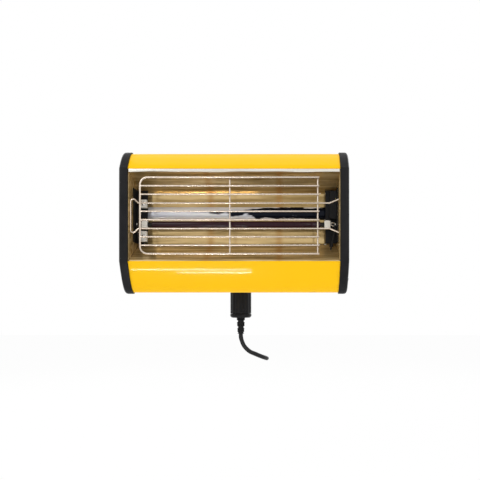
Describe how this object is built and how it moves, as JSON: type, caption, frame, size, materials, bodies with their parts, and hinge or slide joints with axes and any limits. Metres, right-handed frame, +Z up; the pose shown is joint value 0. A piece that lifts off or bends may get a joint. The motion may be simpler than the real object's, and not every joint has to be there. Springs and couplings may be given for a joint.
{
  "type": "infrared paint dryer",
  "caption": "Hand-held short-wave infrared lamp head with a wire grille, gold reflector, rotary timer, bent handle with a guard disc and a coiled mains lead.",
  "frame": {"origin": "the middle of the grip, on the grip's axis, where a hand or a stand holds the dryer", "axes": "+X along the lamp head, the lamp shines towards -Y, +Z up along the grip to the guard disc"},
  "size_m": [0.3348, 0.2023, 0.3222],
  "materials": {
    "yellow_paint": "gloss enamel",
    "dark_sheet": "satin powder coat",
    "black_moulding": "satin",
    "knob_plastic": "gloss",
    "timer_face": "satin black plate",
    "dial_marks": "white print",
    "switch_case": "satin",
    "black_steel": "satin powder coat",
    "gold_reflector": "bright anodised",
    "bright_reflector": "polished",
    "quartz": "dark quartz",
    "tungsten": "wound wire",
    "ceramic": "white ceramic",
    "nickel_wire": "bright nickel",
    "spring_steel": "bright",
    "rail_steel": "zinc plated",
    "screw_steel": "zinc plated",
    "lead_insulation": "sleeve",
    "grip_rubber": "satin",
    "cord_rubber": "satin",
    "tie_fabric": "woven strap",
    "plug_plastic": "satin",
    "plug_brass": "nickel plated brass"
  },
  "bodies": {
    "lamp": {"top_panel": "yellow_paint", "bottom_panel": "yellow_paint", "lip_rivets": "yellow_paint", "rear_cover": "dark_sheet", "end_cap_left": "black_moulding", "end_cap_right": "black_moulding", "grip_end": "black_moulding", "guard_disc": "black_moulding", "control_box": "black_moulding", "timer_plate": "timer_face", "timer_marks": "dial_marks", "timer_switch": "switch_case", "lamp_bracket_left": "black_steel", "lamp_bracket_right": "black_steel", "handle_plate": "black_steel", "handle_socket": "black_steel", "handle_tube": "black_steel", "reflector_back": "gold_reflector", "reflector_top": "gold_reflector", "reflector_bottom": "gold_reflector", "reflector_end_left": "gold_reflector", "reflector_end_right": "gold_reflector", "reflector_bead": "bright_reflector", "lamp_tube": "quartz", "lamp_filament": "tungsten", "lamp_ceramics": "ceramic", "mica_blocks": "ceramic", "terminal_block": "ceramic", "grille_frame": "nickel_wire", "grille_bars": "nickel_wire", "grille_long_bars": "nickel_wire", "grille_stays": "nickel_wire", "lamp_clips": "spring_steel", "lamp_terminals": "spring_steel", "rail_top": "rail_steel", "rail_bottom": "rail_steel", "cap_screws": "screw_steel", "bracket_screws": "screw_steel", "socket_screws": "screw_steel", "timer_screws": "screw_steel", "rail_screws": "screw_steel", "mica_screws": "screw_steel", "lamp_leads": "lead_insulation", "wiring": "lead_insulation", "handle_cable": "lead_insulation", "grip": "grip_rubber", "strain_relief": "grip_rubber", "cord_lead": "cord_rubber", "cord_coil": "cord_rubber", "cord_tail": "cord_rubber", "cord_tie": "tie_fabric", "plug_body": "plug_plastic", "plug_pins": "plug_brass"},
    "timer": {"timer_knob": "knob_plastic", "timer_shaft": "spring_steel"}
  },
  "joints": [
    {"name": "timer_turn", "type": "hinge", "parent": "lamp", "child": "timer", "pos_m": [-0.097, -0.0636, 0.04171], "axis": [0, -0.9487, 0.3162], "range_deg": [0, 300]}
  ]
}
